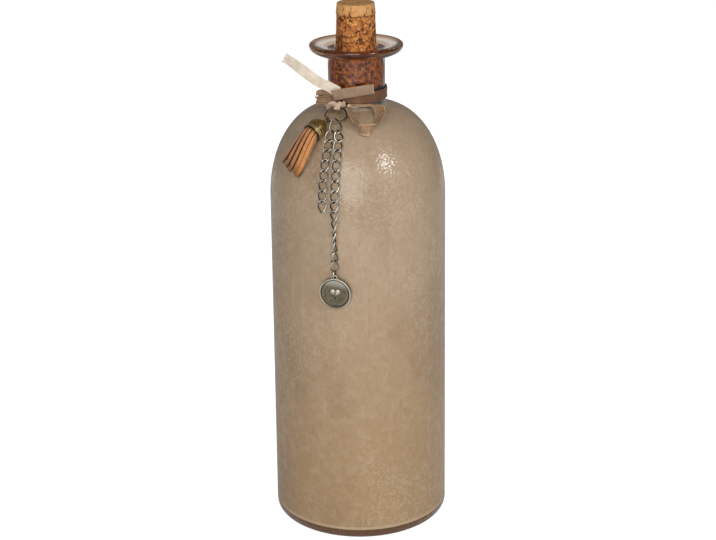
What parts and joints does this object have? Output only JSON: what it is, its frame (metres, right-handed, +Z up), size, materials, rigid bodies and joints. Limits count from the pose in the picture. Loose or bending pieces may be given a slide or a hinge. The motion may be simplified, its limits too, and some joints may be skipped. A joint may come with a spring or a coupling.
{
  "type": "decorative bottle",
  "caption": "Tall round bottle with a flared lip and tapered cork, tied at the neck with ribbon that carries a fringed tassel and a chain with a round charm.",
  "frame": {"origin": "middle of the base, at the level that the bottle stands on", "axes": "+Z up along the bottle's axis, -Y towards the front where the trim hangs, +X to the right"},
  "size_m": [0.1, 0.1033, 0.3],
  "materials": {
    "frosted_glass": "taupe coat on the outside of the body, clear and glossy at the neck and lip",
    "cork_granules": "matte granular cork",
    "natural_cork": "matte cork",
    "taupe_ribbon": "satin",
    "pale_ribbon": "satin",
    "ring_steel": "dulled plating",
    "antique_bronze": "polished, patinated",
    "suede": "napped, dark cut edges",
    "bright_steel": "bright",
    "antique_pewter": "darkened recess, bright rim"
  },
  "bodies": {
    "bottle_and_ribbon": {"bottle": "frosted_glass", "ribbon_neck_band": "taupe_ribbon", "ribbon_knot": "taupe_ribbon", "ribbon_left_tail": "pale_ribbon", "ribbon_right_tail": "taupe_ribbon", "ribbon_bow_loop": "pale_ribbon", "ribbon_ring_keeper": "pale_ribbon"},
    "cork": {"cork_body": "cork_granules", "cork_top_disc": "natural_cork"},
    "ring": {"hanging_ring": "ring_steel"},
    "tassel": {"tassel_eye": "antique_bronze", "tassel_cap": "antique_bronze", "tassel_fringe": "suede"},
    "chain_top": {"chain_top_link": "bright_steel"},
    "short_strand": {"short_chain_link_01": "bright_steel", "short_chain_link_02": "bright_steel", "short_chain_link_03": "bright_steel", "short_chain_link_04": "bright_steel", "short_chain_link_05": "bright_steel", "short_chain_link_06": "bright_steel", "short_chain_link_07": "bright_steel", "short_chain_link_08": "bright_steel"},
    "long_strand_upper": {"long_chain_link_01": "bright_steel", "long_chain_link_02": "bright_steel", "long_chain_link_03": "bright_steel", "long_chain_link_04": "bright_steel", "long_chain_link_05": "bright_steel", "long_chain_link_06": "bright_steel", "long_chain_link_07": "bright_steel"},
    "long_strand_lower": {"long_chain_link_08": "bright_steel", "long_chain_link_09": "bright_steel", "long_chain_link_10": "bright_steel", "long_chain_link_11": "bright_steel", "long_chain_link_12": "bright_steel", "long_chain_link_13": "bright_steel", "long_chain_link_14": "bright_steel"},
    "charm_on_ring": {"charm_ring": "bright_steel", "charm": "antique_pewter"}
  },
  "joints": [
    {"name": "cork_lift", "type": "slide", "parent": "bottle_and_ribbon", "child": "cork", "axis": [0, 0, 1], "range_m": [0, 0.06]},
    {"name": "ring_swing", "type": "hinge", "parent": "bottle_and_ribbon", "child": "ring", "pos_m": [-0.01067, -0.01924, 0.24637], "axis": [-0.9934, 0.1145, 0], "range_deg": [0, 60]},
    {"name": "tassel_swing", "type": "hinge", "parent": "ring", "child": "tassel", "pos_m": [-0.01626, -0.02714, 0.24202], "axis": [-0.7299, 0.6696, 0.1371], "range_deg": [0, 60]},
    {"name": "chain_swing", "type": "hinge", "parent": "ring", "child": "chain_top", "pos_m": [-0.01187, -0.02967, 0.24099], "axis": [-0.9285, 0.3714, 0], "range_deg": [0, 40]},
    {"name": "short_strand_swing", "type": "hinge", "parent": "chain_top", "child": "short_strand", "pos_m": [-0.01351, -0.03393, 0.23634], "axis": [-0.9232, 0.3843, 0], "range_deg": [0, 28]},
    {"name": "long_strand_swing", "type": "hinge", "parent": "chain_top", "child": "long_strand_upper", "pos_m": [-0.0104, -0.03485, 0.2365], "axis": [-0.9677, 0.2521, 0], "range_deg": [0, 30]},
    {"name": "long_strand_bend", "type": "hinge", "parent": "long_strand_upper", "child": "long_strand_lower", "pos_m": [-0.01274, -0.04892, 0.20163], "axis": [-0.9677, 0.2521, 0], "range_deg": [0, 35]},
    {"name": "charm_swing", "type": "hinge", "parent": "long_strand_lower", "child": "charm_on_ring", "pos_m": [-0.01304, -0.05006, 0.16324], "axis": [-0.9677, 0.2521, 0], "range_deg": [0, 60]}
  ]
}
